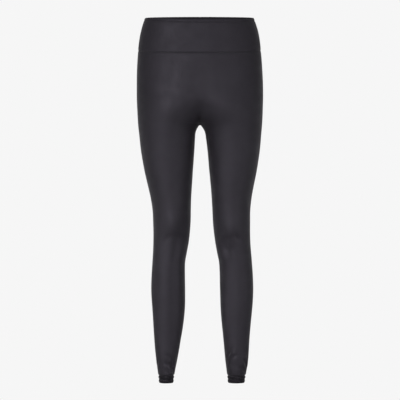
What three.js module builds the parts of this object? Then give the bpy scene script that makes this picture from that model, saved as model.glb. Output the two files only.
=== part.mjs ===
import * as THREE from "three";

// High-rise leggings, filled out as they are when worn, in millimetres. +Z is up and the front faces -Y.
// The origin is the middle of the waist opening, where the garment is held up.
// "Down" is the distance below the waist edge. Left and right are as worn, so the left leg is at +X.

// Driving sizes
const BAND_HEIGHT = 85; // waistband, from its folded edge to the seam that joins it to the legs
const CROTCH_DOWN = 276.5;
const HEM_DOWN = 948;
const ANKLE_BAND_HEIGHT = 19;
const SEAM_GAP = 0.3; // between two sewn pieces

// Cloth thicknesses
const LEG_CLOTH = 1.5;
const WAIST_CLOTH = 2.4; // folded double
const ANKLE_CLOTH = 2.1; // folded double

// How the body part divides into two legs
const FRONT_FORK_DOWN = 186; // where the centre front starts to curve in towards the crotch
const BACK_FORK_DOWN = 142;
const ARCH_HEIGHT = 32; // the inner thighs part over this height, measured down from the crotch
const ARCH_SHARPNESS = 2.3;
const BRIDGE = { width: 15, steepest: 1.2 }; // the cloth spans the valley between the halves in a soft curve
const EDGE_PACKING = 1.2; // columns stand closer together near the centre seams and inseams

// The waist sits lower at the front than at the back, and the front edge is a little higher on the right.
const WAIST_SLOPE = 0.11; // rise per millimetre from front to back
const SLOPE_ENDS_DOWN = 262;
const RIM_LIFT = { height: 2.4, from: -30, to: -105, depth: 60, reach: 45 };

// Roundness of the cross-sections
const BODY_BOXINESS = 0.05;
const SHIN_NARROWING = 0.08; // a lower leg is narrower in front than behind

// Next to a seam or a fold the cloth sinks in by this depth, over this distance.
const SEAM_DIP = 1.1;
const SEAM_DIP_REACH = 3.5;
// A stitched line runs round below the folded waist edge, in a groove.
const EDGE_LINE_DOWN = 8;
const GROOVE_DEPTH = 0.6;
const GROOVE_REACH = 1.8;

// Outline seen from the front: from the centre plane to the outside of the garment.
const SIDES = table(
  ["down", "right", "left"],
  [
    [0, 143.2, 140.0],
    [12, 147.2, 143.8],
    [32, 152.8, 150.3],
    [60, 158.0, 155.4],
    [87, 160.8, 158.2],
    [125, 163.2, 161.4],
    [190, 164.5, 164.3],
    [235, 163.4, 163.3],
    [276.5, 160.9, 161.5],
    [308, 157.3, 158.8],
    [344, 153.6, 155.7],
    [391, 145.7, 148.7],
    [438, 135.2, 139.6],
    [485, 124.9, 131.7],
    [532, 121.9, 130.2],
    [578, 121.0, 130.6],
    [641, 124.2, 135.5],
    [703, 126.8, 138.7],
    [766, 122.9, 134.9],
    [828, 119.4, 128.8],
    [890, 113.7, 125.2],
    [928, 108.4, 118.8],
    [948, 106.6, 115.9],
  ],
);

// Outline between the legs: from the centre plane to the inside of each leg.
const INSEAMS = table(
  ["down", "right", "left"],
  [
    [276.5, 11.7, 12.4],
    [308, 12.3, 14.7],
    [344, 14.2, 19.2],
    [391, 17.5, 23.4],
    [438, 20.8, 27.7],
    [485, 23.1, 31.3],
    [532, 24.0, 33.6],
    [578, 28.0, 38.6],
    [610, 34.0, 44.2],
    [641, 38.7, 50.0],
    [703, 38.2, 51.6],
    [766, 39.6, 54.0],
    [828, 48.3, 59.8],
    [890, 59.0, 65.7],
    [928, 66.4, 70.5],
    [948, 68.9, 72.2],
  ],
);

// Outline seen from the side: from the side line to the front and to the back.
const DEPTHS = table(
  ["down", "front", "back"],
  [
    [0, 86, 90],
    [32, 89, 96],
    [87, 95, 106],
    [140, 100, 117],
    [195, 101, 122],
    [235, 98, 117],
    [276.5, 92, 103],
    [308, 88, 93],
    [344, 84, 86],
    [391, 79, 77],
    [438, 73, 68],
    [485, 66, 60],
    [532, 59, 51],
    [578, 53, 47],
    [641, 47, 57],
    [703, 42, 63],
    [766, 37, 57],
    [828, 33, 47],
    [890, 31, 40],
    [948, 29, 36],
  ],
);

// Soft forms in the cloth. The side is 1 for the left leg, -1 for the right and 0 for both. "Around" runs
// from the inseam (0) over the front (0.25), the outside (0.5) and the back (0.75) to the inseam again.
// "Length" runs down the leg before the form is turned by "slant" degrees, "width" runs around it, and both
// are half sizes. A negative rise is a trough.
const LEG_FORMS = table(
  ["side", "down", "around", "length", "width", "slant", "rise"],
  [
    [-1, 528, 0.24, 38, 21, 0, 4.2], // over the knees
    [1, 535, 0.25, 38, 21, 0, 4.2],
    [-1, 572, 0.19, 14, 9, -20, -3.0], // below the right knee
    [-1, 606, 0.18, 17, 9, -12, -2.4],
    [1, 572, 0.28, 12, 9, 30, -2.2], // below the left knee
    [1, 600, 0.15, 17, 9, -22, -3.0],
    [0, 556, 0.73, 8, 32, 8, -2.4], // behind the knees
    [0, 582, 0.77, 7, 28, -6, -2.6],
    [0, 606, 0.73, 8, 24, 10, -2.0],
    [-1, 902, 0.14, 15, 7, -38, -1.9], // above the ankles
    [1, 872, 0.12, 15, 7, -34, -1.7],
    [1, 905, 0.4, 13, 7, 26, -1.7],
    [0, 900, 0.78, 7, 20, 12, -1.8],
  ],
);

// Rows down a leg. Each stretch ends at "to" and is cut into "count" steps. "Shrink" is 0 for even steps and
// 1 for steps that get smaller towards the end, as on a quarter of a circle.
const LEG_STRETCHES = table(
  ["to", "count", "shrink"],
  [
    [BAND_HEIGHT + SEAM_GAP / 2 + SEAM_DIP_REACH, 1, 0],
    [FRONT_FORK_DOWN, 4, 0],
    [CROTCH_DOWN, 8, 1],
    [CROTCH_DOWN + ARCH_HEIGHT, 4, 0],
    [500, 6, 0],
    [640, 10, 0],
    [860, 6, 0],
    [HEM_DOWN - ANKLE_BAND_HEIGHT - SEAM_GAP / 2 - SEAM_DIP_REACH, 6, 0],
    [HEM_DOWN - ANKLE_BAND_HEIGHT - SEAM_GAP / 2, 1, 0],
  ],
);
const WAIST_STRETCHES = table(
  ["to", "count", "shrink"],
  [
    [SEAM_DIP_REACH, 1, 0],
    [EDGE_LINE_DOWN - GROOVE_REACH, 1, 0],
    [EDGE_LINE_DOWN + GROOVE_REACH, 2, 0],
    [BAND_HEIGHT - SEAM_GAP / 2 - SEAM_DIP_REACH, 4, 0],
    [BAND_HEIGHT - SEAM_GAP / 2, 1, 0],
  ],
);
const ANKLE_STRETCHES = table(["to", "count", "shrink"], [[HEM_DOWN, 6, 0]]);
const LEG_COLUMNS = 26;
const WAIST_COLUMNS = 56;
const ANKLE_COLUMNS = 24;

const INK = new THREE.Color(0x353338);
const TAU = 2 * Math.PI;

// Small helpers

/** Rows of numbers as objects with named columns. */
function table(columns, rows) {
  return rows.map((row) => Object.fromEntries(columns.map((name, i) => [name, row[i]])));
}

function clamp01(value) {
  return Math.min(1, Math.max(0, value));
}

function smoothStep(from, to, value) {
  const t = clamp01((value - from) / (to - from));
  return t * t * (3 - 2 * t);
}

function bell(x) {
  return Math.exp(-x * x);
}

/** A smooth curve through one column of a table, read at a distance down. */
function readColumn(sections, column, down) {
  const last = sections.length - 1;
  const at = Math.min(Math.max(down, sections[0].down), sections[last].down);
  let i = 0;
  while (i < last - 1 && sections[i + 1].down < at) i += 1;
  const slopeAt = (k) => {
    const above = sections[Math.max(0, k - 1)];
    const below = sections[Math.min(last, k + 1)];
    return (below[column] - above[column]) / (below.down - above.down);
  };
  const from = sections[i];
  const to = sections[i + 1];
  const span = to.down - from.down;
  const t = (at - from.down) / span;
  const swing = t * t * (3 - 2 * t);
  const leave = t * (1 - t) * (1 - t) * span;
  const arrive = -t * t * (1 - t) * span;
  return from[column] * (1 - swing) + to[column] * swing + slopeAt(i) * leave + slopeAt(i + 1) * arrive;
}

// The worn form

const sideName = (side) => (side > 0 ? "left" : "right");

/** Where the inside of a leg is: on the centre plane at the crotch, then out along a pointed arch. */
function insideAt(side, down) {
  const arch = 1 - (1 - clamp01((down - CROTCH_DOWN) / ARCH_HEIGHT)) ** ARCH_SHARPNESS;
  return readColumn(INSEAMS, sideName(side), down) * arch;
}

/** Where the soft forms move the cloth at this place, in millimetres outwards. */
function formRise(side, around, down, girth) {
  let rise = 0;
  for (const form of LEG_FORMS) {
    if (form.side === -side) continue;
    const turn = THREE.MathUtils.degToRad(form.slant);
    const across = (around - form.around) * girth;
    const along = down - form.down;
    const u = across * Math.cos(turn) + along * Math.sin(turn);
    const v = along * Math.cos(turn) - across * Math.sin(turn);
    rise += form.rise * bell(u / form.width) * bell(v / form.length);
  }
  return rise;
}

/**
 * A point of one half of the garment, at around 0 to 1 from the front over the outside to the back.
 * Every cross-section is an oval. At the waist its middle is on the centre plane, which cuts it in half.
 * Further down the oval shrinks sideways away from that plane, which cuts off less of it, until the whole
 * oval is left at the crotch. The cut edges are the centre seams, and follow a quarter of an ellipse.
 */
function halfPoint(side, around, down) {
  const inFront = around < 0.5;
  const outside = readColumn(SIDES, sideName(side), down);
  const depth = readColumn(DEPTHS, inFront ? "front" : "back", down);
  const forkDown = inFront ? FRONT_FORK_DOWN : BACK_FORK_DOWN;
  const fork = clamp01((down - forkDown) / (CROTCH_DOWN - forkDown));
  const inside = down > CROTCH_DOWN ? insideAt(side, down) : (-outside * (1 - fork)) / (1 + fork);
  const middle = (outside + inside) / 2;
  const halfWidth = (outside - inside) / 2;
  const cut = Math.acos(fork); // 0 is the inside of the oval and a half turn its outside
  const fromCut = (2 * Math.min(around, 1 - around)) ** EDGE_PACKING;
  const turn = Math.PI * fromCut + cut * (1 - fromCut) ** (1 + 7 * fork ** 4);
  const boxy = 1 + BODY_BOXINESS * (1 - fork) * Math.sin(Math.PI * fromCut) ** 2;
  const shin = inFront ? 1 - SHIN_NARROWING * smoothStep(CROTCH_DOWN, 700, down) * Math.sin(turn) : 1;
  const place = inFront ? turn / TAU : 1 - turn / TAU;
  const rise = down > CROTCH_DOWN ? formRise(side, place, down, Math.PI * (halfWidth + depth)) : 0;
  const x = middle - (halfWidth * boxy * shin + rise) * Math.cos(turn);
  const steep = fork < 1 ? Math.min(BRIDGE.steepest, depth / (halfWidth * Math.tan(cut))) : 0;
  const bridge = steep * BRIDGE.width * Math.sqrt(1 - fork) * Math.exp(-x / BRIDGE.width);
  const y = (depth * boxy + rise) * Math.sin(turn) + bridge;
  return new THREE.Vector3(
    side * (x + SEAM_GAP / 2),
    (inFront ? -1 : 1) * (y + SEAM_GAP / 2),
    -down,
  );
}

/** The slope of the waist and the lift of its front edge. */
function settleAtWaist(point, down) {
  const slope = WAIST_SLOPE * (1 - smoothStep(BAND_HEIGHT, SLOPE_ENDS_DOWN, down));
  const lift = RIM_LIFT.height * bell(down / RIM_LIFT.reach) * smoothStep(0, RIM_LIFT.depth, -point.y);
  point.z += slope * point.y + lift * smoothStep(RIM_LIFT.from, RIM_LIFT.to, point.x);
  return point;
}

/** Moves a point inwards when it is near a seam or fold, which lies this distance up or down from it. */
function sinkAtSeam(point, middle, distance, depth = SEAM_DIP, reach = SEAM_DIP_REACH) {
  const dip = depth * (1 - smoothStep(0, reach, Math.abs(distance)));
  const inward = new THREE.Vector3(middle - point.x, -point.y, 0).normalize();
  return point.addScaledVector(inward, dip);
}

/** X of a leg's middle line. */
function legMiddle(side, down) {
  return (side * (readColumn(SIDES, sideName(side), down) + insideAt(side, down))) / 2;
}

function legPoint(side, around, down) {
  const point = halfPoint(side, around, down);
  if (down < CROTCH_DOWN) return settleAtWaist(sinkAtSeam(point, 0, down - BAND_HEIGHT), down);
  return sinkAtSeam(point, legMiddle(side, down), HEM_DOWN - ANKLE_BAND_HEIGHT - down);
}

/** The waistband is one strip, from the centre back past the left side, the front and the right side. */
function waistPoint(around, down) {
  const side = around < 0.5 ? 1 : -1;
  const point = halfPoint(side, side > 0 ? 1 - 2 * around : 2 * around - 1, down);
  if (around === 0.5) point.x = 0; // no seam at the centre front
  sinkAtSeam(point, 0, down);
  sinkAtSeam(point, 0, down - EDGE_LINE_DOWN, GROOVE_DEPTH, GROOVE_REACH);
  sinkAtSeam(point, 0, BAND_HEIGHT - down);
  return settleAtWaist(point, down);
}

/** An ankle band is folded double, with a groove half-way down where its layers are stitched together. */
function anklePoint(side, around, down) {
  const point = halfPoint(side, around, down);
  const middle = legMiddle(side, down);
  const grooveDown = HEM_DOWN - ANKLE_BAND_HEIGHT / 2;
  sinkAtSeam(point, middle, down - (HEM_DOWN - ANKLE_BAND_HEIGHT));
  sinkAtSeam(point, middle, down - grooveDown, GROOVE_DEPTH, GROOVE_REACH);
  return sinkAtSeam(point, middle, HEM_DOWN - down);
}

// Cloth walls as solids

/** Row positions from a start and a table of stretches. */
function rowsDown(start, stretches) {
  const rows = [start];
  for (const { to, count, shrink } of stretches) {
    const from = rows[rows.length - 1];
    for (let i = 1; i <= count; i += 1) {
      const even = i / count;
      const quarter = Math.sin((even * Math.PI) / 2);
      rows.push(from + (to - from) * (even + (quarter - even) * shrink));
    }
  }
  return rows;
}

/**
 * A sheet of cloth as one closed wall. pointAt(around, down) gives its outer side, and the inner side is moved
 * in by the thickness. The wall's two long edges are sewn, and edgeAxis(down) names the axis across that seam.
 * There the wall isn't moved along that axis, so that it doesn't reach over the seam.
 */
function clothGeometry({ columns, rows, pointAt, thickness, clockwise, edgeAxis }) {
  const across = columns + 1;
  const ringAt = (down) => Array.from({ length: across }, (_, i) => pointAt(i / columns, down));
  const outer = rows.flatMap(ringAt);
  const quads = [];
  for (let row = 0; row < rows.length - 1; row += 1) {
    for (let column = 0; column < columns; column += 1) {
      const a = row * across + column;
      quads.push([a, a + across, a + across + 1, a + 1]);
    }
  }
  const facingOut = clockwise ? ([a, b, c, d]) => [a, d, c, b] : (quad) => quad;
  const triangles = (list) => list.map(facingOut).flatMap(([a, b, c, d]) => [a, b, c, a, c, d]);
  const skin = new THREE.BufferGeometry().setFromPoints(outer);
  skin.setIndex(triangles(quads));
  skin.computeVertexNormals();
  const normals = skin.getAttribute("normal");
  const inner = outer.map((point, i) => {
    const normal = new THREE.Vector3().fromBufferAttribute(normals, i);
    const column = i % across;
    const down = rows[Math.floor(i / across)];
    if (column === 0 || column === columns) normal.setComponent(edgeAxis(down), 0).normalize();
    return point.clone().addScaledVector(normal, -thickness);
  });
  const shift = outer.length;
  const end = shift - across;
  const lining = quads.map(([a, b, c, d]) => [a + shift, d + shift, c + shift, b + shift]);
  const rims = [];
  for (let a = 0; a < columns; a += 1) {
    const b = end + a;
    rims.push([a, a + 1, a + 1 + shift, a + shift]);
    rims.push([b + 1, b, b + shift, b + 1 + shift]);
  }
  for (let a = 0; a < end; a += across) {
    const b = a + columns;
    rims.push([a + across, a, a + shift, a + across + shift]);
    rims.push([b, b + across, b + across + shift, b + shift]);
  }
  const geometry = new THREE.BufferGeometry().setFromPoints([...outer, ...inner]);
  geometry.setIndex(triangles([...quads, ...lining, ...rims]));
  geometry.computeVertexNormals();
  return geometry;
}

const AXIS_X = 0;
const AXIS_Y = 1;

function legGeometry(side) {
  return clothGeometry({
    columns: LEG_COLUMNS,
    rows: rowsDown(BAND_HEIGHT + SEAM_GAP / 2, LEG_STRETCHES),
    pointAt: (around, down) => legPoint(side, around, down),
    thickness: LEG_CLOTH,
    clockwise: side < 0,
    edgeAxis: (down) => (down <= CROTCH_DOWN ? AXIS_X : AXIS_Y),
  });
}

function waistbandGeometry() {
  return clothGeometry({
    columns: WAIST_COLUMNS,
    rows: rowsDown(0, WAIST_STRETCHES),
    pointAt: waistPoint,
    thickness: WAIST_CLOTH,
    clockwise: true,
    edgeAxis: () => AXIS_X,
  });
}

function ankleBandGeometry(side) {
  return clothGeometry({
    columns: ANKLE_COLUMNS,
    rows: rowsDown(HEM_DOWN - ANKLE_BAND_HEIGHT + SEAM_GAP / 2, ANKLE_STRETCHES),
    pointAt: (around, down) => anklePoint(side, around, down),
    thickness: ANKLE_CLOTH,
    clockwise: side < 0,
    edgeAxis: () => AXIS_Y,
  });
}

// The garment

function clothMesh(name, geometry, roughness) {
  const material = new THREE.MeshStandardMaterial({ color: INK, roughness, metalness: 0 });
  const mesh = new THREE.Mesh(geometry, material);
  mesh.name = name;
  return mesh;
}

const leggings = new THREE.Group();
leggings.add(clothMesh("waistband", waistbandGeometry(), 0.72));
for (const side of [1, -1]) {
  leggings.add(clothMesh(`leg_${sideName(side)}`, legGeometry(side), 0.68));
  leggings.add(clothMesh(`ankle_band_${sideName(side)}`, ankleBandGeometry(side), 0.75));
}

export default leggings;
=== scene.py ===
# %% [markdown]
# # High-rise leggings
#
# This lesson dresses a plain model of a pair of leggings in Blender. The plain model already has the right
# size and form: a waistband, two legs and two ankle bands, each a closed wall as thick as its cloth. Here
# each wall becomes a soft, finely divided sheet of knit, with its seams, creases, stitches and a real cloth
# finish. The garment is filled out as it is when worn, but nothing is inside it.
#
# Everything is in metres. +Z is up, the front faces -Y, and the waist opening is at the origin.

import math

import bmesh
import bpy
import numpy as np
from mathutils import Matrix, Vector, noise


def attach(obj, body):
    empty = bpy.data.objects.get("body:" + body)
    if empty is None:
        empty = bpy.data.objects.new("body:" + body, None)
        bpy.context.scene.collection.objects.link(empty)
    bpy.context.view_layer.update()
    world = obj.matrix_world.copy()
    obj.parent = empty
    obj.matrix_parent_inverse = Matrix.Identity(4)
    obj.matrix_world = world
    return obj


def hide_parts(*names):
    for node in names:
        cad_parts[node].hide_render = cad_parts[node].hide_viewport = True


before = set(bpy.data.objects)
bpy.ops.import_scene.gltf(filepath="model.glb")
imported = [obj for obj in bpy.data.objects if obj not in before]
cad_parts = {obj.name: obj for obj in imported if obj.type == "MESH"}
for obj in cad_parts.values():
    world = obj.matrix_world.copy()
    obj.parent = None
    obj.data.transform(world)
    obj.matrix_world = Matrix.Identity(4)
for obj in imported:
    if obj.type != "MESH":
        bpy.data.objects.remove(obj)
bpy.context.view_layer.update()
MM = 0.001
print("nodes:", sorted(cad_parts))

# %% [markdown]
# ## The camera
#
# The garment was photographed straight from the front, with the camera at half its height. A long lens far
# away keeps the sides parallel, as in catalogue pictures: a lens close by would show the waist from below.
# The frame is 400 by 400 pixels, and one pixel is 2.6 mm at the garment, so the frame is 1.04 m high.

# %% Camera
FRAME_SIDE = 1.04
CAMERA_AWAY = 6.0
CAMERA_HEIGHT = -0.4732

camera_data = bpy.data.cameras.new("camera")
camera_data.sensor_width = 36
camera_data.lens = camera_data.sensor_width * CAMERA_AWAY / FRAME_SIDE
camera_data.clip_end = 40
camera = bpy.data.objects.new("camera", camera_data)
camera.location = (0, -CAMERA_AWAY, CAMERA_HEIGHT)
camera.rotation_euler = (math.pi / 2, 0, 0)
bpy.context.scene.collection.objects.link(camera)
bpy.context.scene.camera = camera
print("lens:", round(camera_data.lens), "mm")

# %% [markdown]
# ## From a closed wall to one skin of cloth
#
# A cloth could be simulated, but this one is stretched smooth over its form, so a simulation would only
# blur it. Instead the outer skin of each wall is taken over, divided finely, and shaped with given forms.
# The wall is a copy of the node's mesh. Its loose triangles are merged first. The rims where two sheets are
# sewn lie flat in the middle planes of the garment and are taken off. The other rims meet the skins at right
# angles, so the sharp edges part what is left into an outer and an inner skin, and the outer skin is the
# largest.

# %% Take the outer skin of a wall
RIM_ANGLE = math.radians(70)
SAME_POINT = 0.01 * MM
PLANE_REACH = 0.4 * MM


def in_middle_plane(face):
    """Whether a face lies in one of the planes that part left from right and front from back."""
    return any(all(abs(v.co[axis]) < PLANE_REACH for v in face.verts) for axis in (0, 1))


def outer_skin(node):
    """A bmesh of the node's outer skin, still in triangles."""
    skin = bmesh.new()
    skin.from_mesh(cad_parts[node].data)
    bmesh.ops.remove_doubles(skin, verts=skin.verts, dist=SAME_POINT)
    rims = [f for f in skin.faces if in_middle_plane(f)]
    bmesh.ops.delete(skin, geom=rims, context="FACES")
    sharp = {e for e in skin.edges if e.calc_face_angle(0) > RIM_ANGLE}
    unseen = set(skin.faces)
    islands = []
    while unseen:
        island = [unseen.pop()]
        for face in island:
            for edge in face.edges:
                if edge in sharp:
                    continue
                for other in edge.link_faces:
                    if other in unseen:
                        unseen.discard(other)
                        island.append(other)
        islands.append(island)
    largest = set(max(islands, key=lambda faces: sum(f.calc_area() for f in faces)))
    rest = [f for f in skin.faces if f not in largest]
    bmesh.ops.delete(skin, geom=rest, context="FACES")
    return skin


# %% [markdown]
# ## Rows and columns
#
# Knit cloth has a grain: its columns of stitches, the wales, run down the leg, and its rows, the courses,
# run round it. The skin's own grid runs the same way, so each of its points gets a row and a column number.
# They are counted in steps from the top side and from the side that ends at the front seam. With them the
# loose triangles can be joined back into the grid's quads, and every later step knows where it is on the
# cloth.

# %% Count rows and columns
TRIANGLE_CORNER = 3
QUAD_CORNER = 2


def sides_of(mesh, corner_edges):
    """The four sides of a skin as lists of points. A corner has at most corner_edges edges."""
    corners = {v for v in mesh.verts if v.is_boundary and len(v.link_edges) <= corner_edges}
    found = []
    for corner in corners:
        for edge in corner.link_edges:
            if not edge.is_boundary:
                continue
            side = [corner, edge.other_vert(corner)]
            while side[-1] not in corners:
                onward = [
                    e.other_vert(side[-1])
                    for e in side[-1].link_edges
                    if e.is_boundary and e.other_vert(side[-1]) is not side[-2]
                ]
                side.append(onward[0])
            found.append(side)
    return found


def mean_of(side, axis):
    return sum(v.co[axis] for v in side) / len(side)


def steps_from(side):
    """How many edges away each point is from a side."""
    steps = {v: 0 for v in side}
    ring = list(side)
    while ring:
        reached = {e.other_vert(v) for v in ring for e in v.link_edges} - steps.keys()
        for v in reached:
            steps[v] = steps[ring[0]] + 1
        ring = list(reached)
    return steps


def rows_and_columns(mesh, corner_edges, first_side_axis, first_is_low):
    """Two tables: the row and the column of each point of a skin."""
    sides = sides_of(mesh, corner_edges)
    top = max(sides, key=lambda side: mean_of(side, 2))
    bottom = min(sides, key=lambda side: mean_of(side, 2))
    ends = (set(top), set(bottom))
    long_sides = [side for side in sides if set(side) not in ends]
    pick = min if first_is_low else max
    first = pick(long_sides, key=lambda side: mean_of(side, first_side_axis))
    return steps_from(top), steps_from(first)


# %% [markdown]
# ## Dividing the skin
#
# A Subdivision Surface makes the skin smooth and fine enough for creases a few millimetres wide. It pulls a
# round form a little inwards, by most of a millimetre here, so the coarse points are first moved out by as
# much as it would pull them in. The seams need an even finer grid across them, so the columns next to each
# sewn side are cut once more.

# %% Divide a skin and read it as a grid
DIVISIONS = 2


def add_object(name, mesh):
    piece = bpy.data.objects.new(name, mesh)
    bpy.context.scene.collection.objects.link(piece)
    return piece


def divided(mesh):
    """The mesh with a Subdivision Surface worked in."""
    helper = add_object("helper", mesh)
    surface = helper.modifiers.new("divide", "SUBSURF")
    surface.levels = surface.render_levels = DIVISIONS
    surface.boundary_smooth = "PRESERVE_CORNERS"
    graph = bpy.context.evaluated_depsgraph_get()
    result = bpy.data.meshes.new_from_object(helper.evaluated_get(graph))
    bpy.data.objects.remove(helper)
    return result


def positions(mesh):
    flat = np.empty(len(mesh.vertices) * 3)
    mesh.vertices.foreach_get("co", flat)
    return flat.reshape(-1, 3)


def quad_skin(node, first_side_axis, first_is_low):
    """The node's outer skin in quads: the edges that step both a row and a column are taken out."""
    skin = outer_skin(node)
    row, column = rows_and_columns(skin, TRIANGLE_CORNER, first_side_axis, first_is_low)
    slanted = [
        e
        for e in skin.edges
        if row[e.verts[0]] != row[e.verts[1]] and column[e.verts[0]] != column[e.verts[1]]
    ]
    bmesh.ops.dissolve_edges(skin, edges=slanted, use_verts=False, use_face_split=False)
    mesh = bpy.data.meshes.new(node)
    skin.to_mesh(mesh)
    skin.free()
    return mesh


def cut_next_to_sides(mesh, first_side_axis, first_is_low):
    """Cuts the first and the last column in three, where the seams will be."""
    skin = bmesh.new()
    skin.from_mesh(mesh)
    row, column = rows_and_columns(skin, QUAD_CORNER, first_side_axis, first_is_low)
    last = max(column.values())
    outermost = [
        e
        for e in skin.edges
        if {column[v] for v in e.verts} in ({0, 1}, {last - 1, last})
    ]
    bmesh.ops.subdivide_edges(skin, edges=outermost, cuts=2, use_grid_fill=True)
    skin.to_mesh(mesh)
    skin.free()


class Cloth:
    """One sheet of cloth as a grid: points[row, column], with its object's mesh."""

    def __init__(self, name, node, first_side_axis=1, first_is_low=True):
        coarse = quad_skin(node, first_side_axis, first_is_low)
        target = positions(coarse)
        pulled = positions(divided(coarse))[: len(target)]
        coarse.vertices.foreach_set("co", (2 * target - pulled).ravel())
        self.mesh = divided(coarse)
        cut_next_to_sides(self.mesh, first_side_axis, first_is_low)
        self.mesh.name = name
        self.name = name
        skin = bmesh.new()
        skin.from_mesh(self.mesh)
        skin.verts.ensure_lookup_table()
        row, column = rows_and_columns(skin, QUAD_CORNER, first_side_axis, first_is_low)
        self.index = np.zeros((max(row.values()) + 1, max(column.values()) + 1), int)
        for v in skin.verts:
            self.index[row[v], column[v]] = v.index
        skin.free()
        self.read()

    def read(self):
        """Points, outward normals, and how far each point is across and down the cloth, in millimetres."""
        self.points = positions(self.mesh)[self.index] / MM
        normals = np.array([v.vector for v in self.mesh.vertex_normals])
        self.normals = normals[self.index]
        along_rows = np.linalg.norm(np.diff(self.points, axis=1), axis=2)
        along_columns = np.linalg.norm(np.diff(self.points, axis=0), axis=2)
        self.across = np.pad(np.cumsum(along_rows, axis=1), ((0, 0), (1, 0)))
        self.width = self.across[:, -1:]
        self.down = np.pad(np.cumsum(along_columns, axis=0), ((1, 0), (0, 0)))

    def write(self):
        """Puts the points back into the mesh."""
        moved = np.empty((self.index.size, 3))
        moved[self.index] = self.points * MM
        self.mesh.vertices.foreach_set("co", moved.ravel())
        self.mesh.update()
        self.read()

    def raise_by(self, rise):
        """Moves every point out along its normal by rise, in millimetres."""
        self.points += self.normals * rise[..., None]
        self.write()

    def area(self):
        return sum(face.area for face in self.mesh.polygons)


waistband = Cloth("waistband_cloth", "waistband", first_side_axis=0, first_is_low=False)
legs = {side: Cloth(f"leg_{side}_cloth", f"leg_{side}") for side in ("left", "right")}
ankle_bands = {
    side: Cloth(f"ankle_band_{side}_cloth", f"ankle_band_{side}") for side in ("left", "right")
}
sheets = (waistband, *legs.values(), *ankle_bands.values())
for cloth in sheets:
    print(cloth.name, "rows and columns:", cloth.index.shape, "area:", round(cloth.area(), 4), "m2")

# %% [markdown]
# ## Creases
#
# The photo shows very smooth cloth: soft folds below the knees and above the ankles, and little else. Each
# is one row of a table, so that it can be moved or deepened by itself. "Around" is the share of the way
# round the leg, from the inseam over the front (0.25), the outside (0.5) and the back (0.75) to the inseam
# again, and "down" is the depth below the waist in millimetres, as are all other lengths here. A crease is
# a trough along a bent line, with a low ridge on either side where the cloth that it takes up piles. The
# back isn't seen in the photo and gets the folds such cloth makes where a knee bends and where the seat
# ends.
#
# Two larger forms join them. Over each kneecap the cloth rises in a low oval. Down the middle of the front
# it spans the belly, so it lies a little deeper there than to the left and right.

# %% Creases on the legs
CREASE_COLUMNS = ("side", "around", "down", "length", "width", "slant", "bend", "depth")
CREASES = [
    # below the knees, in front
    ("right", 0.205, 572, 15, 6.0, -50, 0.2, 1.0),
    ("right", 0.200, 600, 26, 9.0, -12, 0.2, 1.7),
    ("right", 0.305, 578, 20, 7.0, 24, -0.2, 1.5),
    ("left", 0.300, 572, 16, 6.5, 40, 0.2, 1.3),
    ("left", 0.185, 588, 22, 8.0, -14, 0.2, 2.7),
    ("left", 0.235, 604, 18, 6.5, 30, -0.2, 1.1),
    ("left", 0.330, 487, 36, 11.0, 42, 0.1, 1.3),
    ("left", 0.190, 520, 34, 9.0, -8, 0.1, 0.8),
    ("right", 0.315, 545, 40, 9.0, 6, 0.1, 0.7),
    # beside the shins, which stand out as a soft edge
    ("right", 0.180, 722, 112, 10.0, -2, 0.0, 1.5),
    ("left", 0.180, 715, 112, 9.0, -2, 0.0, 1.0),
    ("right", 0.325, 700, 90, 13.0, 3, 0.0, 0.8),
    # behind the knees
    ("both", 0.740, 545, 34, 5.5, 82, 0.25, 1.3),
    ("both", 0.790, 563, 26, 4.5, -84, -0.2, 1.0),
    ("both", 0.700, 574, 24, 4.5, 80, 0.2, 1.0),
    ("both", 0.765, 592, 30, 5.5, 87, 0.25, 1.4),
    ("right", 0.680, 609, 18, 4.5, 72, 0.1, 0.8),
    ("left", 0.820, 612, 20, 4.5, -70, 0.1, 0.9),
    # where the seat ends
    ("both", 0.860, 300, 40, 9.0, 62, 0.25, 1.3),
    ("both", 0.800, 322, 34, 10.0, 74, 0.2, 0.8),
    # from the crotch towards the hips
    ("both", 0.075, 296, 26, 6.0, -40, 0.2, 0.6),
    ("both", 0.060, 318, 22, 5.5, -30, 0.2, 0.5),
    # above the ankles
    ("right", 0.165, 886, 20, 5.0, -36, 0.2, 2.2),
    ("right", 0.140, 904, 17, 4.5, -48, 0.2, 2.1),
    ("right", 0.205, 911, 15, 4.5, -10, 0.2, 1.8),
    ("right", 0.390, 898, 14, 4.0, 50, 0.2, 0.8),
    ("left", 0.140, 862, 20, 5.0, -38, 0.2, 1.9),
    ("left", 0.155, 884, 17, 4.5, -44, 0.2, 1.8),
    ("left", 0.375, 896, 18, 4.5, 42, -0.2, 2.0),
    ("left", 0.350, 912, 14, 4.5, 56, -0.2, 1.7),
    ("both", 0.770, 886, 16, 4.0, 78, 0.2, 1.0),
    ("both", 0.730, 903, 14, 3.8, -80, 0.2, 1.0),
    ("both", 0.800, 916, 12, 3.5, 84, 0.2, 0.8),
]

KNEE_COLUMNS = ("around", "down", "half_height", "half_width", "height")
KNEES = {"right": (0.252, 540, 25, 18, 4.4), "left": (0.245, 550, 25, 18, 3.8)}
HOLLOW = {"top": 95, "fade_in": 60, "end": 275, "fade_out": 40, "half_width": 33, "depth": 3.4}
RIDGE_HEIGHT = 0.4
RIDGE_PLACE = 1.9


def knee_rise(cloth, side):
    """The kneecap: a low oval rise in front."""
    knee = dict(zip(KNEE_COLUMNS, KNEES[side]))
    x = (cloth.across / cloth.width - knee["around"]) * cloth.width / knee["half_width"]
    y = (-cloth.points[..., 2] - knee["down"]) / knee["half_height"]
    return knee["height"] * np.exp(-(x**2) - y**2)


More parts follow.
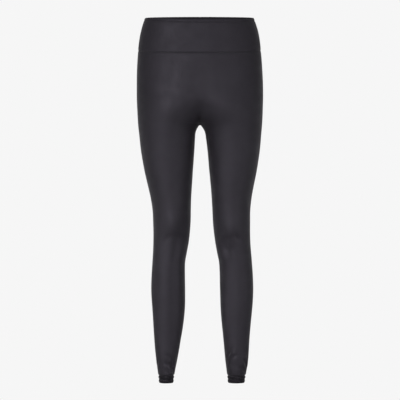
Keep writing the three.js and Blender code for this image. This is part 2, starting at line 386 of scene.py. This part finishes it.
def middle_hollow(cloth):
    """A wide shallow hollow down the middle of the front, from below the waist seam to the crotch."""
    down = -cloth.points[..., 2]
    start = np.clip((down - HOLLOW["top"]) / HOLLOW["fade_in"], 0, 1)
    end = np.clip((HOLLOW["end"] - down) / HOLLOW["fade_out"], 0, 1)
    front = cloth.points[..., 1] < 0
    share = start**2 * (3 - 2 * start) * end**2 * (3 - 2 * end) * front
    return -HOLLOW["depth"] * share * np.exp(-((cloth.points[..., 0] / HOLLOW["half_width"]) ** 2))


def crease_rise(cloth, side):
    """How far the creases of one side and the hollow in front move each point of a leg."""
    rise = middle_hollow(cloth)
    depth_below_waist = -cloth.points[..., 2]
    around = cloth.across / cloth.width
    for row in CREASES:
        crease = dict(zip(CREASE_COLUMNS, row))
        if crease["side"] not in (side, "both"):
            continue
        turn = math.radians(crease["slant"])
        x = (around - crease["around"]) * cloth.width
        y = depth_below_waist - crease["down"]
        along = (y * math.cos(turn) + x * math.sin(turn)) / crease["length"]
        off = (x * math.cos(turn) - y * math.sin(turn)) / crease["width"]
        off = off - crease["bend"] * along**2 * crease["length"] / crease["width"]
        trough = np.exp(-(off**2))
        ridges = np.exp(-((np.abs(off) - RIDGE_PLACE) ** 2))
        rise += crease["depth"] * np.exp(-(along**4)) * (RIDGE_HEIGHT * ridges - trough)
    return rise


# %% [markdown]
# ## Uneven cloth and seams
#
# Cloth over a soft form is never perfectly even, so each sheet gets a slow ripple of about a third of a
# millimetre. It comes from Blender's own noise, read at each point's place, so it is the same in every run.
# At a seam the sewn edge turns in, which leaves a groove, and the thread gathers the cloth into small
# puckers. The front seam of the hips doesn't show in the photo, so it gets neither, and its dip is evened
# out.

# %% Ripple, grooves and puckers
# a ripple is given as its height and size, a groove as its depth and reach, and puckers as their height,
# spacing and reach
LEG_RIPPLE = (0.35, 55)
SIDE_GROOVE = (0.9, 3.2)
SIDE_PUCKERS = (0.16, 8.5, 9)
WAIST_SEAM_GROOVE = (0.35, 5)
WAIST_SEAM_PUCKERS = (0.2, 9.5, 8)
ANKLE_SEAM_GROOVE = (0.8, 4)
ANKLE_SEAM_PUCKERS = (0.25, 6.5, 6)
PRESSED_HALF_WIDTH = 1.4
HIPS_PART = {"down": 190, "reach": 30}
FRONT_DIP = {"above": 255, "fade": 20, "half_width": 8}
NEAR_CENTRE = 2
SEWN_GAP = 0.02


def ripple(cloth, height, size):
    """A slow uneven rise, in millimetres."""
    flat = [noise.noise(Vector(p / size)) for p in cloth.points.reshape(-1, 3)]
    return height * np.array(flat).reshape(cloth.index.shape)


def groove(distance, depth, reach):
    """A rounded drop towards a seam."""
    t = np.clip(distance / reach, 0, 1)
    return -depth * (1 - t) ** 2 * (1 + 2 * t)


def puckers(along, distance, height, spacing, reach):
    """Small gathers beside a seam, at this distance from it. Two slow waves keep them from being alike."""
    uneven = 1.9 * np.sin(along / (4.3 * spacing)) + 0.7 * np.sin(along / (1.7 * spacing) + 1)
    wave = np.sin(2 * math.pi * along / spacing + uneven)
    return height * wave * np.exp(-((distance / reach) ** 2))


def pressed_line(down, place, depth):
    """A narrow line that stitching presses into the cloth at one depth below its top edge."""
    return -depth * np.exp(-(((down - place) / PRESSED_HALF_WIDTH) ** 2))


def even_out_hips(cloth, rounds=24):
    """Evens the cloth where the hips part: each point moves towards its neighbours up and down."""
    for _ in range(rounds):
        down = -cloth.points[1:-1, :, 2:]
        share = np.exp(-(((down - HIPS_PART["down"]) / HIPS_PART["reach"]) ** 4))
        halfway = (cloth.points[:-2] + cloth.points[2:]) / 2
        cloth.points[1:-1] += 0.5 * share * (halfway - cloth.points[1:-1])
    cloth.write()


def smooth_front(cloth):
    """Takes out the dip of the front seam, which the photo doesn't show, above the crotch."""
    for line in cloth.points:
        x = np.abs(line[:, 0])
        share = np.clip((FRONT_DIP["above"] + line[0, 2]) / FRONT_DIP["fade"], 0, 1) * (x[0] < NEAR_CENTRE)
        k = int(np.argmax(x > FRONT_DIP["half_width"]))
        slope = (line[k + 1, 1] - line[k - 1, 1]) / (x[k + 1] - x[k - 1])
        even = line[k, 1] + slope / (2 * x[k]) * (x[:k] ** 2 - x[k] ** 2)
        line[:k, 1] += share * (even - line[:k, 1])
    cloth.write()


def close_seams(cloth):
    """Brings the first and last column together where they are sewn: in the middle planes of the garment."""
    for c in (0, -1):
        line = cloth.points[:, c]
        in_centre = np.abs(line[:, 0]) < NEAR_CENTRE
        line[in_centre, 0] = np.sign(line[in_centre, 0]) * SEWN_GAP
        line[~in_centre, 1] = SEWN_GAP if c else -SEWN_GAP
    cloth.write()


def from_sides(cloth):
    """How far each point is from the nearer of the sheet's two sewn sides."""
    return np.minimum(cloth.across, cloth.width - cloth.across)


def from_bottom(cloth):
    return cloth.down[-1:] - cloth.down


# %% Shape the legs
for side, cloth in legs.items():
    even_out_hips(cloth)
    smooth_front(cloth)
    edge = from_sides(cloth)
    beside_seam = groove(edge, *SIDE_GROOVE) + puckers(cloth.down, edge, *SIDE_PUCKERS)
    in_front = (cloth.across < cloth.width / 2) & (np.abs(cloth.points[:, :1, 0]) < NEAR_CENTRE)
    rise = crease_rise(cloth, side) + knee_rise(cloth, side) + ripple(cloth, *LEG_RIPPLE)
    rise += np.where(in_front, 0, beside_seam)
    rise += puckers(cloth.across, cloth.down, *WAIST_SEAM_PUCKERS)
    rise += puckers(cloth.across, from_bottom(cloth), *ANKLE_SEAM_PUCKERS)
    rise += groove(cloth.down, *WAIST_SEAM_GROOVE) + groove(from_bottom(cloth), *ANKLE_SEAM_GROOVE)
    cloth.raise_by(rise)
    close_seams(cloth)
print("creases:", len(CREASES))

# %% Shape the waistband and the ankle bands
WAIST_RIPPLE = (0.4, 60)
WAIST_EDGE_PUCKERS = (0.12, 13, 9)
WAIST_STITCHES_DOWN = 8.0
WAIST_PRESSED = 0.35
ANKLE_RIPPLE = (0.25, 18)
ANKLE_SIDE_GROOVE = (0.7, 2.6)
ANKLE_TOP_GROOVE = (0.9, 2.8)
ANKLE_EDGE_PUCKERS = (0.16, 6.5, 8)
ANKLE_STITCHES_DOWN = (7.9, 10.8)
ANKLE_PRESSED = 0.9
ANKLE_PRESSED_DOWN = 9.4

rise = ripple(waistband, *WAIST_RIPPLE) + groove(from_sides(waistband), *SIDE_GROOVE)
rise += groove(from_bottom(waistband), *WAIST_SEAM_GROOVE)
rise += puckers(waistband.across, from_bottom(waistband), *WAIST_SEAM_PUCKERS)
rise += puckers(waistband.across, waistband.down, *WAIST_EDGE_PUCKERS)
rise += pressed_line(waistband.down, WAIST_STITCHES_DOWN, WAIST_PRESSED)
waistband.raise_by(rise)
close_seams(waistband)

for cloth in ankle_bands.values():
    rise = ripple(cloth, *ANKLE_RIPPLE)
    rise += groove(from_sides(cloth), *ANKLE_SIDE_GROOVE) + groove(cloth.down, *ANKLE_TOP_GROOVE)
    rise += puckers(cloth.across, cloth.down, *ANKLE_EDGE_PUCKERS)
    rise += pressed_line(cloth.down, ANKLE_PRESSED_DOWN, ANKLE_PRESSED)
    cloth.raise_by(rise)
    close_seams(cloth)
print("sheets shaped:", len(sheets))

# %% [markdown]
# ## A map of the flat cloth
#
# The knit's stitches have to follow the cloth, not the space around it, so each sheet gets a UV map that is
# its own flat pattern in metres: across from the outer side of the leg, and down from its top edge. On a
# map like that every stitch has the same size from the hips to the ankle, as it has on cloth cut from a
# roll.

# %% Unroll each sheet into its UV map


def unroll(cloth):
    middle = cloth.index.shape[1] // 2
    flat = np.empty((cloth.index.size, 2))
    flat[cloth.index, 0] = (cloth.across - cloth.across[:, middle : middle + 1]) * MM
    flat[cloth.index, 1] = -np.broadcast_to(cloth.down[:, middle : middle + 1], cloth.down.shape) * MM
    corners = np.empty(len(cloth.mesh.loops), int)
    cloth.mesh.loops.foreach_get("vertex_index", corners)
    layer = cloth.mesh.uv_layers.new(name="flat_cloth")
    layer.data.foreach_set("uv", flat[corners].ravel())


for cloth in sheets:
    unroll(cloth)
    print(cloth.name, "widest:", round(cloth.width.max()), "mm, long:", round(cloth.down.max()), "mm")

# %% [markdown]
# ## The knit finish
#
# The cloth is a fine, dense charcoal knit with a matt face and a faint sheen where it turns away. A picture
# of cloth could be laid on it, but a pattern worked out from the UV map has no joins and stays sharp close
# up. Each stitch is a V: two legs that lean towards the middle of their wale. The same pattern gives the
# bump and a slight change of colour, darker where the bump is low, which is painted shade between the
# loops. A slow noise varies the colour and the gloss, because dye and wear are never quite even. The wrong
# side, which shows through the waist, has the low cross bars that such a knit has on its back. The ankle
# bands are duller than the legs, and their colour is darkened as painted shade for the shade that falls on
# the hems.

# %% Small helpers for building a material


class Recipe:
    """A material's nodes, added one after another."""

    def __init__(self, name):
        self.material = bpy.data.materials.new(name)
        self.material.use_nodes = True
        self.nodes = self.material.node_tree.nodes
        self.links = self.material.node_tree.links
        self.shader = self.nodes["Principled BSDF"]

    def add(self, kind, inputs=(), **settings):
        node = self.nodes.new(kind)
        for key, value in settings.items():
            setattr(node, key, value)
        for socket, value in dict(inputs).items():
            self.put(node.inputs[socket], value)
        return node

    def put(self, socket, value):
        if isinstance(value, bpy.types.NodeSocket):
            self.links.new(value, socket)
        else:
            socket.default_value = value

    def math(self, operation, a, b=0.0, c=0.0):
        return self.add("ShaderNodeMath", {0: a, 1: b, 2: c}, operation=operation).outputs[0]

    def noise(self, place, scale, detail=2.0):
        sockets = {"Vector": place, "Scale": scale, "Detail": detail}
        return self.add("ShaderNodeTexNoise", sockets).outputs["Fac"]

    def ramp(self, value, low, high, to_low=0.0, to_high=1.0):
        sockets = {0: value, 1: low, 2: high, 3: to_low, 4: to_high}
        return self.add("ShaderNodeMapRange", sockets).outputs[0]

    def colour(self, base, tone):
        """Gives the shader a base colour that a tone makes lighter or darker."""
        grey = self.add("ShaderNodeCombineColor", {0: tone, 1: tone, 2: tone}).outputs[0]
        sockets = {0: 1.0, 6: (*base, 1), 7: grey}
        mix = self.add("ShaderNodeMix", sockets, data_type="RGBA", blend_type="MULTIPLY")
        self.put(self.shader.inputs["Base Color"], mix.outputs[2])

    def relief(self, height, strength, depth):
        """Gives the shader a bump."""
        sockets = {"Strength": strength, "Distance": depth, "Height": height}
        self.put(self.shader.inputs["Normal"], self.add("ShaderNodeBump", sockets).outputs[0])

    def set(self, values):
        """Sets plain values on the shader's own sockets."""
        for socket, value in values.items():
            self.shader.inputs[socket].default_value = value


# %% The knit material
WALE = 0.62 * MM
COURSE = 0.50 * MM
CHARCOAL = (0.0235, 0.0212, 0.0262)
SHEEN_COLOUR = (0.86, 0.84, 0.9)
GLOSS_COLOUR = (0.9, 0.84, 1)
V_LEAN = 1.7
TURN = 2 * math.pi
# about how many waves of dye, wear and flecks there are to a metre
DYE_WAVES = 9.0
WEAR_WAVES = 40.0
FLECKS = 2600.0


def knit(name, wrong_side=False, shade=1.0, roughness=0.57, sheen=0.08, gloss=0.42):
    """Knit cloth whose pattern follows the flat map. The wrong side has cross bars in place of the Vs."""
    make = Recipe(name)
    place = make.add("ShaderNodeUVMap", uv_map="flat_cloth").outputs["UV"]
    split = make.add("ShaderNodeSeparateXYZ", {0: place})
    wale = make.math("DIVIDE", split.outputs["X"], WALE)
    course = make.math("DIVIDE", split.outputs["Y"], COURSE)
    half = make.math("PINGPONG", wale, 0.5)
    lean = make.math("MULTIPLY", half, 0.0 if wrong_side else V_LEAN)
    loop = make.math("SINE", make.math("MULTIPLY", make.math("ADD", course, lean), TURN))
    between = make.math("COSINE", make.math("MULTIPLY", wale, TURN))
    pattern = make.math("MULTIPLY_ADD", between, 0.2 if wrong_side else 0.45, loop)
    stitch = make.ramp(pattern, -1.4, 1.4)
    solid = make.add("ShaderNodeTexCoord").outputs["Object"]
    dye = make.noise(solid, DYE_WAVES, 3.0)
    yarn = make.noise(place, FLECKS)
    tone = make.math("MULTIPLY_ADD", dye, 0.16, 0.92)
    # the stitch pattern darkens the colour where its bump is low: painted shade between the loops, lighter
    # on their tops
    tone = make.math("MULTIPLY", tone, make.math("MULTIPLY_ADD", stitch, 0.30, 0.85))
    tone = make.math("MULTIPLY", tone, make.math("MULTIPLY_ADD", yarn, 0.5, 0.75))
    make.colour([c * shade for c in CHARCOAL], tone)
    rough = make.ramp(make.noise(solid, WEAR_WAVES), 0.3, 0.7, roughness - 0.05, roughness + 0.06)
    make.put(make.shader.inputs["Roughness"], rough)
    make.relief(make.math("MULTIPLY_ADD", yarn, 0.35, stitch), 0.5, 0.08 * MM)
    make.set({"Sheen Weight": sheen, "Sheen Roughness": 0.38, "Sheen Tint": (*SHEEN_COLOUR, 1)})
    make.set({"Specular IOR Level": gloss, "Specular Tint": (*GLOSS_COLOUR, 1)})
    return make.material


leg_knit = knit("charcoal_knit")
band_knit = knit("charcoal_band_knit", shade=1.04, roughness=0.6)
# the ankle bands' colour is darkened to 0.6 as painted shade, standing in for the shade that falls on the
# hems
ankle_knit_painted_shade = knit("charcoal_ankle_knit", shade=0.6, roughness=0.68, sheen=0.04, gloss=0.28)
inner_knit = knit("charcoal_knit_wrong_side", wrong_side=True, shade=0.9, roughness=0.8, sheen=0.05)
print("wales:", round(0.01 / WALE, 1), "per cm; courses:", round(0.01 / COURSE, 1), "per cm")

# %% [markdown]
# ## Giving the cloth its thickness
#
# The skins are the outer face of the cloth, so a Solidify modifier grows them inwards. The waistband and
# the ankle bands are folded double, so they are thicker than the legs, and a Bevel rounds their folded
# edges. The legs have no free edge: every side of them is sewn. The inner face takes the knit's wrong side.

# %% Sheets as finished pieces
LEG_THICKNESS = 1.4 * MM
WAIST_THICKNESS = 2.3 * MM
ANKLE_THICKNESS = 2.0 * MM
WAIST_ROUNDING = 0.9 * MM
ANKLE_ROUNDING = 0.8 * MM
WELD_REACH = 0.1 * MM


def join_sewn_sides(mesh, keep_edges_sharp):
    """Joins the first and the last column where they meet, so that the sheet becomes a tube."""
    tube = bmesh.new()
    tube.from_mesh(mesh)
    rim = [v for v in tube.verts if v.is_boundary]
    bmesh.ops.remove_doubles(tube, verts=rim, dist=WELD_REACH)
    for edge in tube.edges:
        edge.smooth = not edge.is_boundary or not keep_edges_sharp
    tube.to_mesh(mesh)
    tube.free()


def sew(cloth, node, thickness, rounding, outside, inside):
    """The sheet as a finished piece in place of a node. A rounding of 0 leaves its edges sharp."""
    join_sewn_sides(cloth.mesh, keep_edges_sharp=not rounding)
    piece = add_object(cloth.name, cloth.mesh)
    cloth.mesh.materials.append(outside)
    cloth.mesh.materials.append(inside)
    cloth.mesh.polygons.foreach_set("use_smooth", [True] * len(cloth.mesh.polygons))
    wall = piece.modifiers.new("thickness", "SOLIDIFY")
    wall.thickness = thickness
    wall.offset = -1
    wall.material_offset = 1
    if rounding:
        edge = piece.modifiers.new("round_edges", "BEVEL")
        edge.width = rounding
        edge.segments = 2
        edge.limit_method = "ANGLE"
        edge.angle_limit = math.radians(60)
    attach(piece, "root")
    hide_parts(node)
    return piece


waist_piece = sew(
    waistband, "waistband", WAIST_THICKNESS, WAIST_ROUNDING, band_knit, inner_knit
)
for side in ("left", "right"):
    leg, band = legs[side], ankle_bands[side]
    sew(leg, f"leg_{side}", LEG_THICKNESS, 0, leg_knit, inner_knit)
    sew(
        band, f"ankle_band_{side}", ANKLE_THICKNESS, ANKLE_ROUNDING, ankle_knit_painted_shade, ankle_knit_painted_shade
    )

# %% [markdown]
# ## Stitches
#
# A line of fine stitches runs round below the waist edge, and two lines run round the middle of each ankle
# band, where a twin needle holds the fold. From this far they hardly show, but close up they catch the
# light. One stitch is a small ball drawn out into a grain of thread. It is copied along a line on the
# cloth, each copy turned to the line and half sunk in its groove.

# %% Rows of stitches
THREAD = 0.42 * MM
STITCH = 2.5 * MM
STITCH_STEP = 3.1
SUNK = 0.02 * MM
THREAD_COLOUR = (0.024, 0.022, 0.026)


def line_on(cloth, down):
    """Points and normals along the cloth, at one depth below its top edge in millimetres."""
    rows, columns = cloth.index.shape
    points, normals = [], []
    for c in range(columns):
        at = np.interp(down, cloth.down[:, c], np.arange(rows))
        low = int(min(at, rows - 2))
        share = at - low
        points.append(cloth.points[low, c] * (1 - share) + cloth.points[low + 1, c] * share)
        normals.append(cloth.normals[low, c] * (1 - share) + cloth.normals[low + 1, c] * share)
    return np.array(points), np.array(normals)


def stitch_row(mesh, cloth, down):
    """Adds one row of stitches to a bmesh, and returns how many."""
    points, normals = line_on(cloth, down)
    run = np.concatenate([[0], np.cumsum(np.linalg.norm(np.diff(points, axis=0), axis=1))])
    count = int(run[-1] / STITCH_STEP)
    for i in range(count):
        at = (i + 0.5) * run[-1] / count
        place = np.array([np.interp(at, run, points[:, k]) for k in range(3)])
        ahead = np.array([np.interp(at + 0.5, run, points[:, k]) for k in range(3)])
        out = np.array([np.interp(at, run, normals[:, k]) for k in range(3)])
        along = Vector(ahead - place).normalized()
        normal = Vector(out).normalized()
        over = normal.cross(along).normalized()
        grain = bmesh.ops.create_uvsphere(mesh, u_segments=6, v_segments=5, radius=0.5)["verts"]
        bmesh.ops.scale(mesh, vec=(THREAD, THREAD, STITCH), verts=grain)
        for v in grain:
            local = v.co.copy()
            v.co = Vector(place * MM) + normal * (local.y - SUNK) + over * local.x + along * local.z
    return count


def stitches(name, cloth, depths):
    """One piece with a row of stitches at each of these depths below the cloth's top edge."""
    mesh = bmesh.new()
    count = sum(stitch_row(mesh, cloth, down) for down in depths)
    bmesh.ops.recalc_face_normals(mesh, faces=mesh.faces)
    data = bpy.data.meshes.new(name)
    mesh.to_mesh(data)
    mesh.free()
    data.polygons.foreach_set("use_smooth", [True] * len(data.polygons))
    piece = add_object(name, data)
    data.materials.append(thread_finish)
    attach(piece, "root")
    print(name, "stitches:", count)
    return piece


def thread_material(name):
    """Smooth charcoal thread, twisted; its colour is banded along its length as painted light and shade on
    the twist.
    """
    make = Recipe(name)
    solid = make.add("ShaderNodeTexCoord").outputs["Object"]
    twist = make.add("ShaderNodeTexWave", {"Vector": solid, "Scale": 900.0, "Distortion": 1.5})
    # the twist's bands are painted light and shade on the plies of the thread
    make.colour(THREAD_COLOUR, make.ramp(twist.outputs["Fac"], 0.0, 1.0, 0.8, 1.2))
    make.set({"Roughness": 0.6, "Specular IOR Level": 0.3})
    return make.material


thread_finish = thread_material("charcoal_thread")
waist_stitches = stitches("waist_stitches", waistband, [WAIST_STITCHES_DOWN])
ankle_stitches = {
    side: stitches(f"ankle_stitches_{side}", ankle_bands[side], ANKLE_STITCHES_DOWN)
    for side in ("left", "right")
}

# %% [markdown]
# ## Seam edges inside
#
# Inside the garment each seam ends in a narrow overlocked edge. It shows when one looks in at the waist,
# and it also shuts the slit between two sheets, as the sewing does. Each is a flattened cord along the
# seam, just inside the cloth. A curve with a round bevel makes it in one go, and it is then turned into a
# mesh.

# %% Overlocked seam edges
SEAM_CORD = 1.6
CORD_RISE = 0.4
CORD_INSET = 0.3
OVERLOCK_COLOUR = (0.038, 0.035, 0.041)


def seam_line(cloth, which):
    """Points just inside one side of a leg: first or last column, or top or bottom row."""
    if which in ("top", "bottom"):
        r, step = (0, CORD_RISE) if which == "top" else (-1, -CORD_RISE)
        points, normals = cloth.points[r], cloth.normals[r] * (1, 1, 0)
        normals = normals / np.linalg.norm(normals, axis=1, keepdims=True)
        points = points + (0, 0, step)
    else:
        c = 0 if which == "first" else -1
        points, normals = cloth.points[:, c], cloth.normals[:, c]
    return points - normals * (LEG_THICKNESS / MM + CORD_INSET * SEAM_CORD)


def cord_along(name, points):
    """A round cord along these points, as a mesh."""
    curve = bpy.data.curves.new(name, "CURVE")
    curve.dimensions = "3D"
    curve.bevel_depth = SEAM_CORD * MM
    curve.bevel_resolution = 2
    curve.use_fill_caps = True
    spline = curve.splines.new("POLY")
    spline.points.add(len(points) - 1)
    for target, point in zip(spline.points, points):
        target.co = (*(point * MM), 1)
    helper = add_object(name, curve)
    graph = bpy.context.evaluated_depsgraph_get()
    mesh = bpy.data.meshes.new_from_object(helper.evaluated_get(graph))
    bpy.data.objects.remove(helper)
    mesh.name = name
    mesh.polygons.foreach_set("use_smooth", [True] * len(mesh.polygons))
    piece = add_object(name, mesh)
    mesh.materials.clear()
    mesh.materials.append(overlock_finish)
    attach(piece, "root")
    length = np.linalg.norm(np.diff(points, axis=0), axis=1).sum()
    print(name, "length:", round(float(length)), "mm")
    return piece


def overlock_material(name):
    """Loops of thread wrapped over a cloth edge: close diagonal ribs."""
    make = Recipe(name)
    solid = make.add("ShaderNodeTexCoord").outputs["Object"]
    sockets = {"Vector": solid, "Scale": 260.0, "Distortion": 2.0}
    rib = make.add("ShaderNodeTexWave", sockets, bands_direction="DIAGONAL").outputs["Fac"]
    # the colour follows the ribs: painted shade between them and painted highlight on them, besides their
    # bump
    make.colour(OVERLOCK_COLOUR, make.ramp(rib, 0.0, 1.0, 0.7, 1.25))
    make.relief(rib, 0.6, 0.3 * MM)
    make.set({"Roughness": 0.75})
    return make.material


def crotch_row(cloth):
    """The row where the front and the back side of a leg meet."""
    return int(np.argmin(np.abs(cloth.points[:, 0, 1] - cloth.points[:, -1, 1])))


overlock_finish = overlock_material("charcoal_overlock")

# %% Run a cord along each seam
seam_routes = {}
for side, cloth in legs.items():
    front, back = seam_line(cloth, "first"), seam_line(cloth, "last")
    seam_routes[f"inseam_edge_{side}"] = ((front + back) / 2)[crotch_row(cloth) :]

left = legs["left"]
fork = crotch_row(left)
centre = np.concatenate([seam_line(left, "first")[: fork + 1], seam_line(left, "last")[:fork][::-1]])
centre[:, 0] = 0
seam_routes["centre_seam_edge"] = centre

around_waist = np.concatenate([seam_line(left, "top"), seam_line(legs["right"], "top")[::-1]])
seam_routes["waist_seam_edge"] = np.concatenate([around_waist, around_waist[:1]])
for side, cloth in legs.items():
    around_ankle = seam_line(cloth, "bottom")
    seam_routes[f"ankle_seam_edge_{side}"] = np.concatenate([around_ankle, around_ankle[:1]])

seam_edges = {name: cord_along(name, route) for name, route in seam_routes.items()}
print("seam edges:", len(seam_edges))

# %% [markdown]
# ## The cut of the cloth
#
# A worn legging is stretched: its flat pieces are narrower than the body that they go round. The area of
# each sheet's cut is worked out from its shaped area, and nothing uses it.

# %% Work out each sheet's cut area
STRETCH = 0.9


def declare(cloth):
    """Works out the area of a sheet's flat cut, its shaped area times the stretch; nothing uses it."""
    area = cloth.area() * STRETCH


declare(waistband)
declare(legs["left"])
declare(legs["right"])
for side in ("left", "right"):
    declare(ankle_bands[side])

# %% [markdown]
# ## Studio
#
# The photo was taken before a plain white ground that shows no corner and no shadow. Here a pale dome
# stands in for it, and the floor is a pale disc below the picture. Only the camera sees them, so they don't
# wash the dark cloth out with light from all sides.

# %% Dome and floor
FLOOR = -1.25
FLOOR_RADIUS = 2.5
DOME_RADIUS = 14


def stage_piece(name, mesh, colour, glow):
    """A piece of the studio, in plain paper that glows a little."""
    data = bpy.data.meshes.new(name)
    mesh.to_mesh(data)
    mesh.free()
    piece = add_object(name, data)
    paper = Recipe(name)
    paper.set({"Base Color": (colour, colour, colour, 1), "Roughness": 0.9, "Specular IOR Level": 0.0})
    paper.set({"Emission Color": (1, 1, 1, 1), "Emission Strength": glow})
    data.materials.append(paper.material)
    for rays in ("visible_diffuse", "visible_glossy", "visible_transmission", "visible_shadow"):
        setattr(piece, rays, False)


dome_mesh = bmesh.new()
bmesh.ops.create_uvsphere(dome_mesh, u_segments=48, v_segments=24, radius=DOME_RADIUS)
bmesh.ops.reverse_faces(dome_mesh, faces=dome_mesh.faces)
stage_piece("pale_dome", dome_mesh, colour=0.0, glow=0.922)

floor_mesh = bmesh.new()
bmesh.ops.create_circle(floor_mesh, cap_ends=True, segments=96, radius=FLOOR_RADIUS)
bmesh.ops.translate(floor_mesh, vec=(0, 0, FLOOR), verts=floor_mesh.verts)
stage_piece("pale_floor", floor_mesh, colour=0.7, glow=0.45)
print("floor at:", FLOOR, "m")

# %% [markdown]
# ## Light
#
# The cloth is lightest where it faces the viewer and a little to the left, darker at 45 degrees to either
# side, and has a narrow light line down both edges. So a large soft light stands in front, left of the
# camera and high, with a weaker one on the right. A wide light stands behind the garment and catches its
# edges. Three small lights with narrow beams lift the knees and shins. A dim white world fills in.

# %% Lights


def softbox(name, place, aim, width, height, power, spread=180):
    """A soft light. A spread below 180 degrees narrows its beam, as a grid before a softbox does."""
    light = bpy.data.lights.new(name, "AREA")
    light.shape = "RECTANGLE"
    light.size = width
    light.size_y = height
    light.energy = power
    light.spread = math.radians(spread)
    lamp = bpy.data.objects.new(name, light)
    lamp.location = place
    lamp.rotation_euler = (Vector(aim) - Vector(place)).to_track_quat("-Z", "Y").to_euler()
    lamp.visible_camera = False
    bpy.context.scene.collection.objects.link(lamp)


softbox("key", (-1.6, -3.4, 0.5), aim=(0, 0, -0.5), width=0.8, height=1.2, power=53)
softbox("fill", (1.5, -3.0, 0.1), aim=(0, 0, -0.5), width=0.6, height=1.2, power=14)
softbox("low", (-0.75, -3.1, -0.1), aim=(0, 0, -0.66), width=0.4, height=0.3, power=0.1, spread=16)
softbox("side_left", (-1.9, -1.1, -0.6), aim=(0, 0, -0.66), width=0.4, height=0.6, power=0.3, spread=32)
softbox("side_right", (1.9, -1.1, -0.6), aim=(0, 0, -0.6), width=0.4, height=0.6, power=0.3, spread=40)
softbox("ground", (0, 2.7, -0.45), aim=(0, 0, -0.45), width=8.0, height=3.0, power=26)

world = bpy.data.worlds.new("studio")
world.use_nodes = True
background = world.node_tree.nodes["Background"]
background.inputs["Color"].default_value = (1, 1, 1, 1)
background.inputs["Strength"].default_value = 0.2
bpy.context.scene.world = world
bpy.context.scene.view_settings.view_transform = "Standard"
